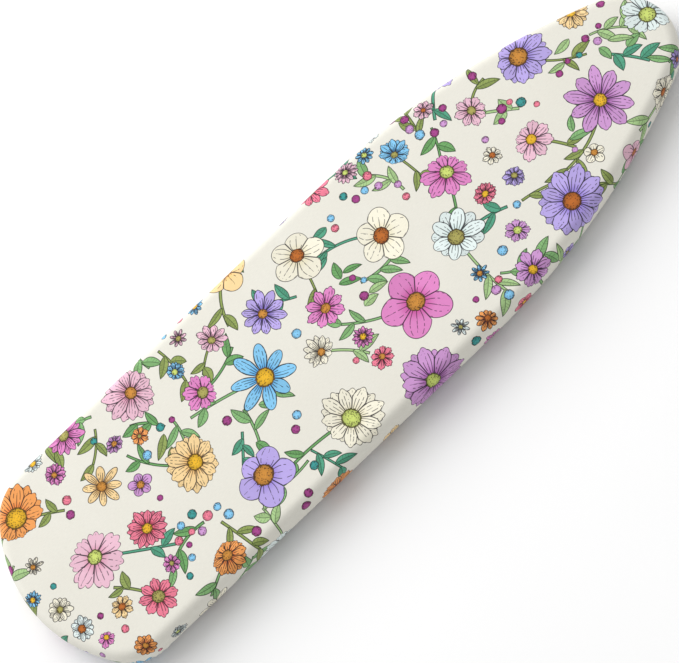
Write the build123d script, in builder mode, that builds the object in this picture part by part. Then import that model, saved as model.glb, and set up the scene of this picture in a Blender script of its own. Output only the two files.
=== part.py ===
# Folding ironing board, lying folded flat on the floor with its covered top up.
#
# +X runs from the square tail to the rounded nose, +Y across to the left side, +Z up.
# The origin is on the floor, under the middle of the board. All sizes are in millimetres.
#
# The rear foot stands still and the rest rises from it: the rear leg swings up about the rear
# foot bar, the front leg crosses it at the centre pivot, the board hangs on the rear leg's top
# end, and the front leg's top end slides in tracks under the board. Both legs have the same
# length above and below the pivot, so the board stays level at every height.
import math
import os

from build123d import *

os.makedirs("parts", exist_ok=True)

# Board outline, measured from the tail end along the board and from its middle across it
board_length = 1371.6
board_half_width = 190.5
tail_corner_r = 90.0
tail_corner_from_end = 122.0
tail_corner_from_middle = 100.0
straight_from = 260.0
straight_to = 815.0
nose_r = 95.0

# Heights of the folded stack
axis_height = 18.0
cover_bottom = 22.0
rim_bottom = 24.0
sheet_bottom = 59.2
sheet_top = 60.0
cover_top = 67.2

# Top
cover_thickness = 0.8
hem_width = 22.0
cover_edge_r = 7.5
pad_inset = 1.6
pad_edge_r = 6.0
rim_inset = 4.5
rim_wall = 1.3
rim_shelf = 17.0
rim_lip = 13.0
hole_r = 5.5
hole_pitch = 26.0
hole_margin = 30.0

# Legs: both are foot_arm long below the centre pivot and top_arm above it
rear_foot_from_tail = 90.0
foot_arm = 520.0
top_arm = 480.0
open_angle = 55.0
rear_tube_r = 11.0
rear_tube_y = 106.0
front_tube_r = 10.0
front_tube_y = 80.0
tube_wall = 1.2
tube_past_pin = 14.0
foot_bar_r = 10.0
sleeve_r = 13.5
pivot_r = 4.0
slider_rod_r = 6.0
running_fit = 0.05
side_gap = 0.5


def from_tail(distance):
    """X of a point at this distance from the tail end."""
    return distance - board_length / 2


rear_foot_x = from_tail(rear_foot_from_tail)
pivot_x = rear_foot_x + foot_arm
hinge_x = pivot_x + top_arm
slider_x = pivot_x - top_arm
front_foot_x = pivot_x + foot_arm
slider_travel = 2 * top_arm * (1 - math.cos(math.radians(open_angle)))


def finish(built, label):
    """Names a finished sub-part and writes its file."""
    built.part.label = label
    export_step(built.part, f"parts/{label}.step")


# ---------------------------------------------------------------- board outline
# Seven tangent arcs and two straight sides. Every arc keeps its centre when the outline is
# drawn further in, so each layer of the top follows the same shape.


def tangent_radius(run, depth, inner_r):
    """Radius of a long arc that leaves a straight side and closes on a smaller arc inside it."""
    return (run**2 / (depth - inner_r) + depth + inner_r) / 2


crown_r = (tail_corner_from_end**2 + tail_corner_from_middle**2 - tail_corner_r**2) / (
    2 * (tail_corner_from_end - tail_corner_r)
)
belly_r = tangent_radius(
    straight_from - tail_corner_from_end, board_half_width - tail_corner_from_middle, tail_corner_r
)
nose_centre_from_tail = board_length - nose_r
shoulder_r = tangent_radius(nose_centre_from_tail - straight_to, board_half_width, nose_r)

crown_centre = Vector(from_tail(crown_r), 0)
corner_centre = Vector(from_tail(tail_corner_from_end), tail_corner_from_middle)
belly_centre = Vector(from_tail(straight_from), board_half_width - belly_r)
shoulder_centre = Vector(from_tail(straight_to), board_half_width - shoulder_r)
nose_centre = Vector(from_tail(nose_centre_from_tail), 0)


def half_width(distance):
    """Half of the board's width at a distance from the tail, from the straight sides to the nose."""
    past = max(0.0, distance - straight_to)
    return board_half_width - shoulder_r + math.sqrt(shoulder_r**2 - past**2)


def arc_between(centre, radius, start_towards, end_towards):
    """An arc about a centre, from the direction of one point to the direction of another."""
    start = (start_towards - centre).normalized()
    end = (end_towards - centre).normalized()
    middle = (start + end).normalized()
    ThreePointArc(centre + start * radius, centre + middle * radius, centre + end * radius)


def board_face(inset, height):
    """The board's outline, drawn in from the finished edge by inset, as a face at a height."""
    tail_tip = Vector(from_tail(0), 0)
    nose_tip = Vector(from_tail(board_length), 0)
    side_start = Vector(from_tail(straight_from), board_half_width)
    side_end = Vector(from_tail(straight_to), board_half_width)
    crown_end = crown_centre + (corner_centre - crown_centre).normalized() * crown_r
    belly_start = belly_centre + (corner_centre - belly_centre).normalized() * belly_r
    shoulder_end = shoulder_centre + (nose_centre - shoulder_centre).normalized() * shoulder_r
    down = Vector(0, -inset)
    with BuildSketch(Plane.XY.offset(height)) as outline:
        with BuildLine():
            arc_between(crown_centre, crown_r - inset, tail_tip, crown_end)
            arc_between(corner_centre, tail_corner_r - inset, crown_end, belly_start)
            arc_between(belly_centre, belly_r - inset, belly_start, side_start)
            Line(side_start + down, side_end + down)
            arc_between(shoulder_centre, shoulder_r - inset, side_end, shoulder_end)
            arc_between(nose_centre, nose_r - inset, shoulder_end, nose_tip)
            mirror(about=Plane.XZ)
        make_face()
    return outline.sketch


def board_layer(inset, bottom, top, mode=Mode.ADD):
    """A flat layer of the board's shape between two heights, in the sub-part being built."""
    extrude(board_face(inset, bottom), amount=top - bottom, mode=mode)


# ---------------------------------------------------------------- board
# The rim is a rolled steel band: a skirt with an inward shelf that carries the sheet and a
# turned-in lower lip.

with BuildPart() as edge_rim:
    inner = rim_inset + rim_wall
    board_layer(rim_inset, rim_bottom, sheet_top)
    board_layer(inner, sheet_bottom, sheet_top, Mode.SUBTRACT)
    board_layer(rim_shelf, sheet_bottom - rim_wall, sheet_bottom, Mode.SUBTRACT)
    board_layer(inner, rim_bottom + rim_wall, sheet_bottom - rim_wall, Mode.SUBTRACT)
    board_layer(rim_lip, rim_bottom, rim_bottom + rim_wall, Mode.SUBTRACT)
finish(edge_rim, "edge_rim")

# The top is a steel sheet punched with staggered steam holes, kept off its edge.
hole_field = board_face(hole_margin, 0.0).face()
rows = math.ceil(board_half_width / hole_pitch)
columns = math.ceil(board_length / hole_pitch)
hole_points = []
for row in range(-rows, rows + 1):
    for column in range(-columns, columns + 1):
        x = (column + 0.5 * (row % 2)) * hole_pitch
        y = row * hole_pitch * math.sqrt(3) / 2
        if hole_field.is_inside((x, y, 0)):
            hole_points.append((x, y))

with BuildPart() as mesh_top:
    with BuildSketch(Plane.XY.offset(sheet_bottom)):
        add(board_face(rim_inset + rim_wall, 0.0))
        with Locations(*hole_points):
            Circle(hole_r, mode=Mode.SUBTRACT)
    extrude(amount=sheet_top - sheet_bottom)
finish(mesh_top, "mesh_top")

# Foam-backed felt over the sheet and the rim.
with BuildPart() as foam_pad:
    board_layer(pad_inset, sheet_top, cover_top - cover_thickness)
    fillet(foam_pad.faces().sort_by(Axis.Z)[-1].edges(), radius=pad_edge_r)
finish(foam_pad, "foam_pad")

# Fitted cover: one skin over the pad, down the sides and turned under as a hem.
with BuildPart() as cover_room:
    board_layer(cover_thickness, cover_bottom + cover_thickness, cover_top - cover_thickness)
    fillet(cover_room.faces().sort_by(Axis.Z)[-1].edges(), radius=cover_edge_r - cover_thickness)

with BuildPart() as cover:
    board_layer(0.0, cover_bottom, cover_top)
    fillet(cover.faces().sort_by(Axis.Z)[-1].edges(), radius=cover_edge_r)
    add(cover_room.part, mode=Mode.SUBTRACT)
    board_layer(hem_width, cover_bottom, cover_bottom + cover_thickness, Mode.SUBTRACT)
finish(cover, "cover")

# Flat elastic that lies in the hem all the way round and draws it in under the rim.
elastic_width = 5.0
elastic_bottom = cover_bottom + cover_thickness
elastic_top = rim_bottom - 0.2
with BuildPart() as hem_elastic:
    board_layer(hem_width - elastic_width, elastic_bottom, elastic_top)
    board_layer(hem_width, elastic_bottom, elastic_top, Mode.SUBTRACT)
finish(hem_elastic, "hem_elastic")

# Two C-channels, open towards each other, that the carriage runs in.
track_inner_y = 44.0
track_outer_y = 62.0
track_bottom = 40.0
track_wall = 1.5
track_length = 502.0
track_start = rear_foot_x
track_end = track_start + track_length
track_middle_y = (track_inner_y + track_outer_y) / 2
track_middle_z = (track_bottom + sheet_bottom) / 2
track_size = (track_outer_y - track_inner_y, sheet_bottom - track_bottom)

for side, side_name in ((1, "left"), (-1, "right")):
    with BuildPart() as track:
        with BuildSketch(Plane.YZ.offset(track_start)):
            with Locations((side * track_middle_y, track_middle_z)):
                Rectangle(*track_size)
            with Locations((side * (track_middle_y - track_wall), track_middle_z)):
                Rectangle(track_size[0], track_size[1] - 2 * track_wall, mode=Mode.SUBTRACT)
        extrude(amount=track_length)
    finish(track, f"track_{side_name}")

# Stops that close both ends of each track.
stop_length = 6.0
with BuildPart() as track_stops:
    for stop_x in (track_start, track_end - stop_length):
        with BuildSketch(Plane.YZ.offset(stop_x)):
            for side in (1, -1):
                with Locations((side * (track_middle_y - track_wall / 2), track_middle_z)):
                    Rectangle(track_size[0] - track_wall, track_size[1] - 2 * track_wall)
        extrude(amount=stop_length)
finish(track_stops, "track_stops")

# Height rack: one notch for storage and eight for working heights.
pawl_tip_x = slider_x + 43.0
rack_bottom = 51.5
notch_width = 10.0
notch_depth = 5.0
height_step = 25.0
heights = 8
rack_half_width = 9.0
rack_past_notch = 12.0
notches = [pawl_tip_x] + [pawl_tip_x + slider_travel - step * height_step for step in range(heights)]
with BuildPart() as height_rack:
    with BuildSketch(Plane.XZ):
        rack_start = pawl_tip_x - rack_past_notch
        rack_end = pawl_tip_x + slider_travel + rack_past_notch
        with Locations(((rack_start + rack_end) / 2, (rack_bottom + sheet_bottom) / 2)):
            Rectangle(rack_end - rack_start, sheet_bottom - rack_bottom)
        with Locations(*[(x, rack_bottom) for x in notches]):
            Rectangle(notch_width, 2 * notch_depth, mode=Mode.SUBTRACT)
    extrude(amount=rack_half_width, both=True)
finish(height_rack, "height_rack")

# Ribs: pressed channels across the underside of the sheet.
rib_width = 30.0
rib_bottom = 48.5
rib_wall = 1.2
rib_end_inset = 19.0
rib_places = {"middle": 665.0, "front": 900.0, "nose": 1180.0}
for rib_name, distance in rib_places.items():
    with BuildPart() as rib:
        with BuildSketch(Plane.XZ):
            with Locations((from_tail(distance), (rib_bottom + sheet_bottom) / 2)):
                Rectangle(rib_width, sheet_bottom - rib_bottom)
            with Locations((from_tail(distance), (rib_bottom + sheet_bottom) / 2 + rib_wall)):
                Rectangle(
                    rib_width - 2 * rib_wall, sheet_bottom - rib_bottom, mode=Mode.SUBTRACT
                )
        extrude(amount=half_width(distance + rib_width) - rib_end_inset, both=True)
    finish(rib, f"rib_{rib_name}")

# Rubber bumpers under two ribs, which the folded leg tubes lie against.
bumper_r = 8.0
bumper_gap = 0.5
bumper_edge_r = 2.0
with BuildPart() as leg_bumpers:
    for distance, tube_y, tube_r in (
        (rib_places["middle"], rear_tube_y, rear_tube_r),
        (rib_places["front"], front_tube_y, front_tube_r),
    ):
        bumper_bottom = axis_height + tube_r + bumper_gap
        with BuildSketch(Plane.XY.offset(bumper_bottom)):
            with Locations((from_tail(distance), tube_y), (from_tail(distance), -tube_y)):
                Circle(bumper_r)
        extrude(amount=rib_bottom - bumper_bottom)
    fillet(leg_bumpers.edges().group_by(Axis.Z)[0], radius=bumper_edge_r)
finish(leg_bumpers, "leg_bumpers")

# Hinge brackets: a clevis on each side that holds the rear leg's top end.
cheek_gap = 1.0
cheek_wall = 2.0
cheek_half_width = 14.0
cheek_end_r = 10.0
cheek_inner = rear_tube_r + cheek_gap
for side, side_name in ((1, "left"), (-1, "right")):
    with BuildPart() as hinge_bracket:
        for offset_y in (-(cheek_inner + cheek_wall / 2), cheek_inner + cheek_wall / 2):
            with BuildSketch(Plane.XZ.offset(-(side * rear_tube_y + offset_y))):
                with BuildLine():
                    Polyline(
                        (hinge_x - cheek_end_r, axis_height),
                        (hinge_x - cheek_half_width, sheet_bottom),
                        (hinge_x + cheek_half_width, sheet_bottom),
                        (hinge_x + cheek_end_r, axis_height),
                    )
                    ThreePointArc(
                        (hinge_x + cheek_end_r, axis_height),
                        (hinge_x, axis_height - cheek_end_r),
                        (hinge_x - cheek_end_r, axis_height),
                    )
                make_face()
                with Locations((hinge_x, axis_height)):
                    Circle(pivot_r, mode=Mode.SUBTRACT)
            extrude(amount=cheek_wall / 2, both=True)
        with BuildSketch(Plane.XY.offset(sheet_bottom - cheek_wall)):
            with Locations((hinge_x, side * rear_tube_y)):
                Rectangle(2 * cheek_half_width, 2 * (cheek_inner + cheek_wall))
        extrude(amount=cheek_wall)
    finish(hinge_bracket, f"hinge_bracket_{side_name}")

# Headed pins that close the brackets.
pin_head_r = 7.0
pin_head = 2.0
with BuildPart() as hinge_pins:
    for side in (1, -1):
        pin_start = side * (rear_tube_y - cheek_inner - cheek_wall)
        pin_end = side * (rear_tube_y + cheek_inner + cheek_wall)
        with BuildSketch(Plane.XZ.offset(-pin_start)):
            with Locations((hinge_x, axis_height)):
                Circle(pivot_r)
        extrude(amount=pin_start - pin_end)
        with BuildSketch(Plane.XZ.offset(-pin_end)):
            with Locations((hinge_x, axis_height)):
                Circle(pin_head_r)
        extrude(amount=-side * pin_head)
finish(hinge_pins, "hinge_pins")

# ---------------------------------------------------------------- feet
# A foot is a round bar in two rubber shoes with flat soles. It stays level on the floor while
# the leg's sleeves turn on it.
shoe_r = 14.0
shoe_flank = (0.8 * shoe_r, 0.6 * shoe_r)
shoe_edge_r = 2.0
rear_shoe_y = (122.5, 145.0)
front_shoe_y = (95.5, 119.0)
sole_half_width = 22.0
sole_height = 5.0
shoe_end_wall = 5.0
collar_r = 13.0
collar_width = 3.0
rear_sleeve_width = 24.0
front_sleeve_width = 22.0


def foot(name, x, sleeve_y, sleeve_width, shoe_start, shoe_end):
    """The bar, both shoes and the collars of one foot."""
    with BuildPart() as bar:
        with BuildSketch(Plane.XZ):
            with Locations((x, axis_height)):
                Circle(foot_bar_r)
                Circle(foot_bar_r - tube_wall, mode=Mode.SUBTRACT)
        extrude(amount=shoe_end - shoe_end_wall, both=True)
    finish(bar, f"{name}_foot_bar")

    for side, side_name in ((1, "left"), (-1, "right")):
        with BuildPart() as shoe:
            with BuildSketch(Plane.XZ.offset(-side * shoe_start)):
                with Locations((x, axis_height)):
                    Circle(shoe_r)
                with BuildLine():
                    Polyline(
                        (x - sole_half_width, 0),
                        (x + sole_half_width, 0),
                        (x + sole_half_width, sole_height),
                        (x + shoe_flank[0], axis_height + shoe_flank[1]),
                        (x - shoe_flank[0], axis_height + shoe_flank[1]),
                        (x - sole_half_width, sole_height),
                        close=True,
                    )
                make_face()
            extrude(amount=-side * (shoe_end - shoe_start))
            outer_face = shoe.faces().sort_by(Axis.Y)[-1 if side > 0 else 0]
            fillet(outer_face.edges(), radius=shoe_edge_r)
            with BuildSketch(Plane.XZ.offset(-side * shoe_start)):
                with Locations((x, axis_height)):
                    Circle(foot_bar_r)
            extrude(amount=-side * (shoe_end - shoe_start - shoe_end_wall), mode=Mode.SUBTRACT)
        finish(shoe, f"{name}_shoe_{side_name}")

    with BuildPart() as collars:
        for side in (1, -1):
            for edge in (-1, 1):
                collar_y = side * sleeve_y + edge * (sleeve_width + collar_width + 2 * side_gap) / 2
                with BuildSketch(Plane.XZ.offset(-collar_y)):
                    with Locations((x, axis_height)):
                        Circle(collar_r)
                        Circle(foot_bar_r, mode=Mode.SUBTRACT)
                extrude(amount=collar_width / 2, both=True)
    finish(collars, f"{name}_foot_collars")


foot("rear", rear_foot_x, rear_tube_y, rear_sleeve_width, *rear_shoe_y)
foot("front", front_foot_x, front_tube_y, front_sleeve_width, *front_shoe_y)


# ---------------------------------------------------------------- legs
# Each leg is a pair of straight tubes. Sleeves welded across their lower ends turn on the foot
# bar, and plastic plugs close their upper ends.


def leg_sleeves(name, x, tube_y, width):
    """The two sleeves that turn on a foot bar."""
    with BuildPart() as sleeves:
        for side in (1, -1):
            with BuildSketch(Plane.XZ.offset(-side * tube_y)):
                with Locations((x, axis_height)):
                    Circle(sleeve_r)
                    Circle(foot_bar_r + running_fit, mode=Mode.SUBTRACT)
            extrude(amount=width / 2, both=True)
    finish(sleeves, f"{name}_leg_sleeves")


def leg_tubes(name, foot_x, top_x, tube_y, tube_r, cross_holes, brace_x=None):
    """The two tubes of a leg, coped to their sleeves and drilled for the pins."""
    outwards = 1 if top_x > foot_x else -1
    top_end = top_x + outwards * tube_past_pin
    for side, side_name in ((1, "left"), (-1, "right")):
        with BuildPart() as tube:
            with BuildSketch(Plane.YZ.offset(foot_x)):
                with Locations((side * tube_y, axis_height)):
                    Circle(tube_r)
                    Circle(tube_r - tube_wall, mode=Mode.SUBTRACT)
            extrude(amount=top_end - foot_x)
            for hole_x, cross_hole_r in [(foot_x, sleeve_r), *cross_holes]:
                with BuildSketch(Plane.XZ.offset(-side * tube_y)):
                    with Locations((hole_x, axis_height)):
                        Circle(cross_hole_r)
                extrude(amount=2 * tube_r, both=True, mode=Mode.SUBTRACT)
            if brace_x is not None:
                with BuildSketch(Plane.XY):
                    with Locations((brace_x, side * tube_y)):
                        Circle(rivet_r)
                extrude(amount=axis_height, mode=Mode.SUBTRACT)
        finish(tube, f"{name}_leg_tube_{side_name}")

    plug_head = 3.0
    plug_depth = 7.0
    plug_edge_r = 1.5
    with BuildPart() as plugs:
        for side in (1, -1):
            with BuildSketch(Plane.YZ.offset(top_end)):
                with Locations((side * tube_y, axis_height)):
                    Circle(tube_r)
            extrude(amount=outwards * plug_head)
            with BuildSketch(Plane.YZ.offset(top_end)):
                with Locations((side * tube_y, axis_height)):
                    Circle(tube_r - tube_wall)
            extrude(amount=-outwards * plug_depth)
        ends = plugs.faces().sort_by(Axis.X)
        fillet([f.edges() for f in (ends[-2:] if outwards > 0 else ends[:2])], radius=plug_edge_r)
    finish(plugs, f"{name}_leg_end_plugs")


rivet_r = 3.0
brace_x = from_tail(340.0)
leg_sleeves("rear", rear_foot_x, rear_tube_y, rear_sleeve_width)
leg_tubes(
    "rear",
    rear_foot_x,
    hinge_x,
    rear_tube_y,
    rear_tube_r,
    [(pivot_x, pivot_r), (hinge_x, pivot_r + running_fit)],
    brace_x,
)
leg_sleeves("front", front_foot_x, front_tube_y, front_sleeve_width)
leg_tubes(
    "front",
    front_foot_x,
    slider_x,
    front_tube_y,
    front_tube_r,
    [(pivot_x, pivot_r + running_fit), (slider_x, slider_rod_r)],
)

# Flat brace riveted under the rear tubes; the front tubes pass over it.
brace_top = axis_height - rear_tube_r
brace_thickness = 3.0
brace_width = 28.0
brace_past_tube = 10.0
brace_corner_r = 8.0
with BuildPart() as rear_leg_brace:
    with BuildSketch(Plane.XY.offset(brace_top - brace_thickness)):
        with Locations((brace_x, 0)):
            RectangleRounded(brace_width, 2 * (rear_tube_y + brace_past_tube), brace_corner_r)
        with Locations((brace_x, rear_tube_y), (brace_x, -rear_tube_y)):
            Circle(rivet_r, mode=Mode.SUBTRACT)
    extrude(amount=brace_thickness)
finish(rear_leg_brace, "rear_leg_brace")

rivet_head = 1.5
rivet_edge_r = 1.2
with BuildPart() as brace_rivets:
    with BuildSketch(Plane.XY.offset(brace_top - brace_thickness)):
        with Locations((brace_x, rear_tube_y), (brace_x, -rear_tube_y)):
            Circle(rivet_r)
    extrude(amount=brace_thickness + 2 * tube_wall)
    with BuildSketch(Plane.XY.offset(brace_top - brace_thickness)):
        with Locations((brace_x, rear_tube_y), (brace_x, -rear_tube_y)):
            Circle(2 * rivet_r)
    extrude(amount=-rivet_head)
    fillet(brace_rivets.faces().sort_by(Axis.Z)[:2].edges(), radius=rivet_edge_r)
finish(brace_rivets, "brace_rivets")

# Cross tubes between the front tubes, coped to them.
crossbar_r = 8.0
for bar_name, distance in (("upper", 260.0), ("lower", 820.0)):
    with BuildPart() as crossbar:
        with BuildSketch(Plane.XZ):
            with Locations((from_tail(distance), axis_height)):
                Circle(crossbar_r)
                Circle(crossbar_r - tube_wall, mode=Mode.SUBTRACT)
        extrude(amount=front_tube_y, both=True)
        with BuildSketch(Plane.YZ.offset(from_tail(distance))):
            with Locations((front_tube_y, axis_height), (-front_tube_y, axis_height)):
                Circle(front_tube_r)
        extrude(amount=2 * crossbar_r, both=True, mode=Mode.SUBTRACT)
    finish(crossbar, f"front_leg_crossbar_{bar_name}")

# Centre pivot: one rod through all four tubes, with nylon spacers and domed caps.
rod_end = rear_tube_y + rear_tube_r + side_gap
with BuildPart() as centre_pivot_rod:
    with BuildSketch(Plane.XZ):
        with Locations((pivot_x, axis_height)):
            Circle(pivot_r)
    extrude(amount=rod_end, both=True)
finish(centre_pivot_rod, "centre_pivot_rod")

spacer_gap = 0.2
spacer_r = 9.0
spacer_inner = front_tube_y + front_tube_r + spacer_gap
spacer_outer = rear_tube_y - rear_tube_r - spacer_gap
with BuildPart() as pivot_spacers:
    for side in (1, -1):
        with BuildSketch(Plane.XZ.offset(-side * spacer_inner)):
            with Locations((pivot_x, axis_height)):
                Circle(spacer_r)
                Circle(pivot_r, mode=Mode.SUBTRACT)
        extrude(amount=-side * (spacer_outer - spacer_inner))
finish(pivot_spacers, "pivot_spacers")

cap_r = 8.5
cap_height = 4.5
cap_edge_r = 3.5
with BuildPart() as pivot_caps:
    for side in (1, -1):
        with BuildSketch(Plane.XZ.offset(-side * rod_end)):
            with Locations((pivot_x, axis_height)):
                Circle(cap_r)
        extrude(amount=-side * cap_height)
    ends = pivot_caps.faces().sort_by(Axis.Y)
    fillet([ends[0].edges(), ends[-1].edges()], radius=cap_edge_r)
finish(pivot_caps, "pivot_caps")

# Slider rod across the top of the front leg, and the clips at its ends.
clip_r = slider_rod_r + 3.0
clip_start = front_tube_y + front_tube_r + side_gap
clip_end = clip_start + 2.0
rod_past_clip = 1.0
with BuildPart() as slider_rod:
    with BuildSketch(Plane.XZ):
        with Locations((slider_x, axis_height)):
            Circle(slider_rod_r)
    extrude(amount=clip_end + rod_past_clip, both=True)
finish(slider_rod, "slider_rod")

with BuildPart() as slider_rod_clips:
    for side in (1, -1):
        with BuildSketch(Plane.XZ.offset(-side * clip_start)):
            with Locations((slider_x, axis_height)):
                Circle(clip_r)
                Circle(slider_rod_r, mode=Mode.SUBTRACT)
        extrude(amount=-side * (clip_end - clip_start))
finish(slider_rod_clips, "slider_rod_clips")

# ---------------------------------------------------------------- carriage
# A pressed bracket, open towards the nose, that hangs on two nylon shoes in the tracks and
# holds the slider rod, the pawl's pin and the lever's rod.
cheek_y = 40.0
bracket_wall = 3.0
bracket_tail_x = slider_x - 30.0
bracket_nose_x = slider_x + 51.0
bracket_bottom = 8.0
bracket_top = 50.0
bracket_tail_bottom = 24.0
bracket_nose_bottom = 28.0
bracket_flat = 12.0
bracket_corner_r = 4.0
pawl_pin_x = slider_x + 11.0
pawl_pin_z = 46.0
pawl_pin_r = 3.0
lever_x = slider_x + 30.0
lever_z = 34.5
lever_rod_r = 3.5
shoe_length = 70.0
shoe_middle_x = bracket_tail_x + shoe_length / 2
screw_xs = (shoe_middle_x - 24.0, shoe_middle_x + 18.0)
screw_r = 2.0
screw_z = track_middle_z

with BuildPart() as carriage_bracket:
    with BuildSketch(Plane.XZ):
        with BuildLine():
            Polyline(
                (bracket_tail_x, bracket_tail_bottom),
                (slider_x - bracket_flat, bracket_bottom),
                (slider_x + bracket_flat, bracket_bottom),
                (bracket_nose_x, bracket_nose_bottom),
                (bracket_nose_x, bracket_top),
                (bracket_tail_x, bracket_top),
                close=True,
            )
        make_face()
        fillet(vertices(), radius=bracket_corner_r)
    extrude(amount=cheek_y + bracket_wall, both=True)
    room_length = bracket_nose_x - bracket_tail_x
    with BuildSketch(Plane.XZ):
        with Locations((bracket_tail_x + bracket_wall + room_length / 2, bracket_top / 2)):
            Rectangle(room_length, 2 * bracket_top)
    extrude(amount=cheek_y, both=True, mode=Mode.SUBTRACT)
    for hole_x, hole_z, cross_hole_r in (
        (slider_x, axis_height, slider_rod_r + running_fit),
        (lever_x, lever_z, lever_rod_r + running_fit),
        (pawl_pin_x, pawl_pin_z, pawl_pin_r),
        *[(x, screw_z, screw_r) for x in screw_xs],
    ):
        with BuildSketch(Plane.XZ):
            with Locations((hole_x, hole_z)):
                Circle(cross_hole_r)
        extrude(amount=2 * cheek_y, both=True, mode=Mode.SUBTRACT)
finish(carriage_bracket, "carriage_bracket")

# Nylon shoes with a little play in the tracks.
track_play = 0.5
shoe_corner_r = 3.0
shoe_inner_y = cheek_y + bracket_wall
shoe_outer_y = track_outer_y - track_wall - track_play
shoe_half_height = (sheet_bottom - track_bottom) / 2 - track_wall - track_play
for side, side_name in ((1, "left"), (-1, "right")):
    with BuildPart() as carriage_shoe:
        with BuildSketch(Plane.XZ.offset(-side * shoe_inner_y)):
            with Locations((shoe_middle_x, track_middle_z)):
                Rectangle(shoe_length, 2 * shoe_half_height)
                fillet(vertices(), radius=shoe_corner_r)
            with Locations(*[(x, screw_z) for x in screw_xs]):
                Circle(screw_r, mode=Mode.SUBTRACT)
        extrude(amount=-side * (shoe_outer_y - shoe_inner_y))
    finish(carriage_shoe, f"carriage_shoe_{side_name}")

# Pan-head screws that hold the shoes to the bracket.
screw_head_r = 3.8
screw_head = 2.0
screw_reach = shoe_outer_y - 4.0
with BuildPart() as shoe_screws:
    for side in (1, -1):
        for x in screw_xs:
            with BuildSketch(Plane.XZ.offset(-side * cheek_y)):
                with Locations((x, screw_z)):
                    Circle(screw_r)
            extrude(amount=-side * (screw_reach - cheek_y))
            with BuildSketch(Plane.XZ.offset(-side * cheek_y)):
                with Locations((x, screw_z)):
                    Circle(screw_head_r)
            extrude(amount=side * screw_head)
finish(shoe_screws, "shoe_screws")

with BuildPart() as pawl_pin:
    with BuildSketch(Plane.XZ):
        with Locations((pawl_pin_x, pawl_pin_z)):
            Circle(pawl_pin_r)
    extrude(amount=cheek_y + bracket_wall, both=True)
finish(pawl_pin, "pawl_pin")

# The pawl lies just under the rack, and its tip rises into a notch when the lever is lifted.
pawl_half_width = 6.0
tip_from_pin = pawl_tip_x - pawl_pin_x
pawl_hub_r = 5.0
pawl_top = 1.5
pawl_belly = -4.5
tip_half_length = 2.5
tip_top = 5.2
tip_shoulder = 3.0
heel_bottom = -8.0
with BuildPart() as pawl:
    with BuildSketch(Plane((pawl_pin_x, 0, pawl_pin_z), x_dir=(1, 0, 0), z_dir=(0, -1, 0))):
        with BuildLine():
            Polyline(
                (0, pawl_top),
                (tip_from_pin - tip_half_length, pawl_top),
                (tip_from_pin - tip_half_length, tip_top),
                (tip_from_pin + tip_half_length / 2, tip_top),
                (tip_from_pin + tip_half_length, tip_shoulder),
                (tip_from_pin + tip_half_length, heel_bottom),
                (tip_from_pin - tip_half_length, heel_bottom),
                (tip_from_pin - 2 * tip_half_length, pawl_belly),
                (0, pawl_belly),
                close=True,
            )
        make_face()
        Circle(pawl_hub_r)
        Circle(pawl_pin_r + running_fit, mode=Mode.SUBTRACT)
    extrude(amount=pawl_half_width, both=True)
finish(pawl, "pawl")

# Lever: a rod that turns in the bracket, a cam under the pawl and a grip at the right side.
lever_inner_y = 46.0
grip_inner_y = -122.0
grip_outer_y = -140.0
grip_length = 58.0
grip_hub_r = 7.5
grip_tip_r = 4.0
grip_end_wall = 4.0
grip_edge_r = 2.0
clip_thickness = 1.5
cam_hub_r = 6.0
cam_half_width = 5.0
with BuildPart() as lever_rod:
    with BuildSketch(Plane.XZ.offset(-lever_inner_y)):
        with Locations((lever_x, lever_z)):
            Circle(lever_rod_r)
    extrude(amount=lever_inner_y - grip_outer_y - grip_end_wall)
finish(lever_rod, "lever_rod")

with BuildPart() as lever_clip:
    with BuildSketch(Plane.XZ.offset(-(cheek_y + bracket_wall + side_gap))):
        with Locations((lever_x, lever_z)):
            Circle(lever_rod_r + clip_thickness)
            Circle(lever_rod_r, mode=Mode.SUBTRACT)
    extrude(amount=-clip_thickness)
finish(lever_clip, "lever_clip")

cam_reach = pawl_tip_x - lever_x
cam_tip_r = 3.0
with BuildPart() as lever_cam:
    with BuildSketch(Plane.XZ):
        with Locations((lever_x, lever_z)):
            Circle(cam_hub_r)
            with Locations((cam_reach, 0)):
                Circle(cam_tip_r)
            with Locations((cam_reach / 2, 0)):
                Rectangle(cam_reach, 2 * cam_tip_r)
            Circle(lever_rod_r, mode=Mode.SUBTRACT)
    extrude(amount=cam_half_width, both=True)
finish(lever_cam, "lever_cam")

with BuildPart() as lever_grip:
    with BuildSketch(Plane.XZ.offset(-grip_inner_y)):
        with BuildLine():
            Polyline(
                (lever_x, lever_z + grip_hub_r),
                (lever_x + grip_length, lever_z + grip_tip_r),
                (lever_x + grip_length, lever_z - grip_tip_r),
                (lever_x, lever_z - grip_hub_r),
                close=True,
            )
        make_face()
        with Locations((lever_x, lever_z)):
            Circle(grip_hub_r)
        with Locations((lever_x + grip_length, lever_z)):
            Circle(grip_tip_r)
    extrude(amount=grip_inner_y - grip_outer_y)
    fillet(lever_grip.faces().sort_by(Axis.Y)[0].edges(), radius=grip_edge_r)
    with BuildSketch(Plane.XZ.offset(-grip_inner_y)):
        with Locations((lever_x, lever_z)):
            Circle(lever_rod_r)
    extrude(amount=grip_inner_y - grip_outer_y - grip_end_wall, mode=Mode.SUBTRACT)
finish(lever_grip, "lever_grip")

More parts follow.
